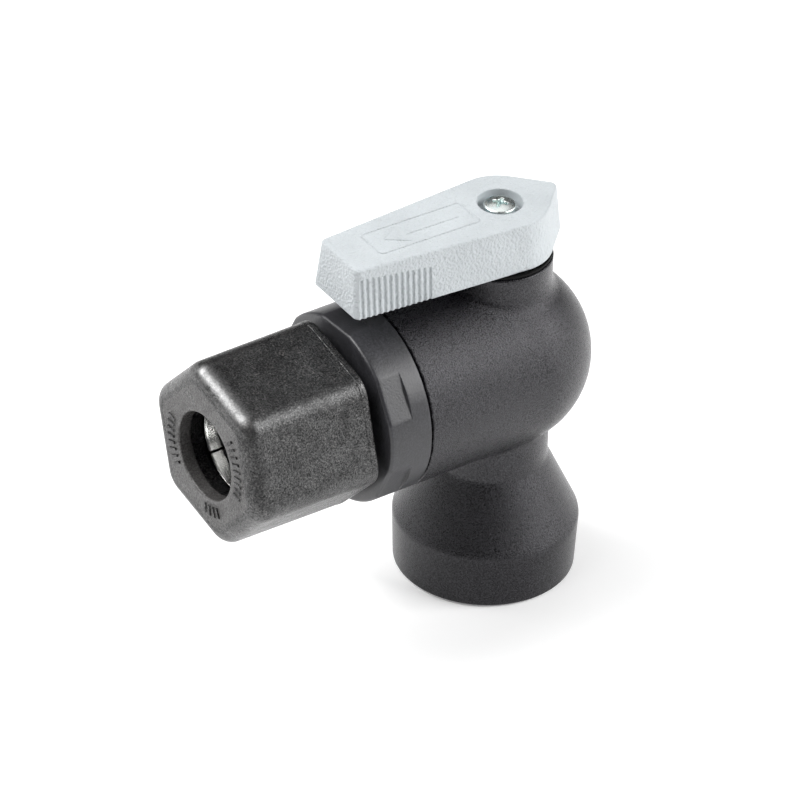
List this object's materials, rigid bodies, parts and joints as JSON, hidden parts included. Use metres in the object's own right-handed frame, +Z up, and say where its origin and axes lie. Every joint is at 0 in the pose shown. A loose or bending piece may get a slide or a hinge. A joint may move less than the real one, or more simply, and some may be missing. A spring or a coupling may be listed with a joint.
{
  "type": "angle ball valve",
  "caption": "Plastic ball valve with a hexagon tube compression nut on one side, a threaded socket below and a quarter-turn lever on top.",
  "frame": {"origin": "on the stem axis at the mouth plane of the threaded socket", "axes": "+Z up the stem, -X out of the tube port along the barrel"},
  "size_m": [0.0625, 0.0276, 0.0602],
  "materials": {
    "body_black": "fine-grained satin",
    "connector_black": "smooth satin",
    "nut_black": "coarse-grained satin",
    "handle_grey": "pebbled matte",
    "zinc": "zinc plated",
    "stainless": "bright",
    "disc_black": "smooth",
    "ball_black": "polished",
    "stem_black": "smooth",
    "seat_white": "waxy",
    "washer_white": "smooth",
    "rubber": "matte",
    "spacer_black": "smooth"
  },
  "bodies": {
    "valve": {"valve_body": "body_black", "end_connector": "connector_black", "connector_o_ring": "rubber", "tube_o_ring": "rubber", "front_seat": "seat_white", "rear_seat": "seat_white", "front_seat_o_ring": "rubber", "rear_seat_o_ring": "rubber", "stem_thrust_washer": "washer_white"},
    "lever": {"handle": "handle_grey", "handle_screw": "zinc", "stop_disc": "disc_black", "stem": "stem_black", "lower_stem_o_ring": "rubber", "upper_stem_o_ring": "rubber", "ball": "ball_black"},
    "gripper": {"grab_ring": "stainless", "spacer": "spacer_black"},
    "nut": {"compression_nut": "nut_black"}
  },
  "joints": [
    {"name": "lever_turn", "type": "hinge", "parent": "valve", "child": "lever", "pos_m": [0, 0, 0.052], "axis": [0, 0, -1], "range_deg": [0, 90]},
    {"name": "nut_travel", "type": "slide", "parent": "valve", "child": "gripper", "axis": [-1, 0, 0], "range_m": [-0.00125, 0.0055]},
    {"name": "nut_turn", "type": "hinge", "parent": "gripper", "child": "nut", "pos_m": [-0.0386, 0, 0.0353], "axis": [-1, 0, 0], "range_deg": [-240, 1080]}
  ],
  "couplings": [
    {"joint": "nut_travel", "follows": "nut_turn", "m_per_rad": 0.00028871}
  ]
}
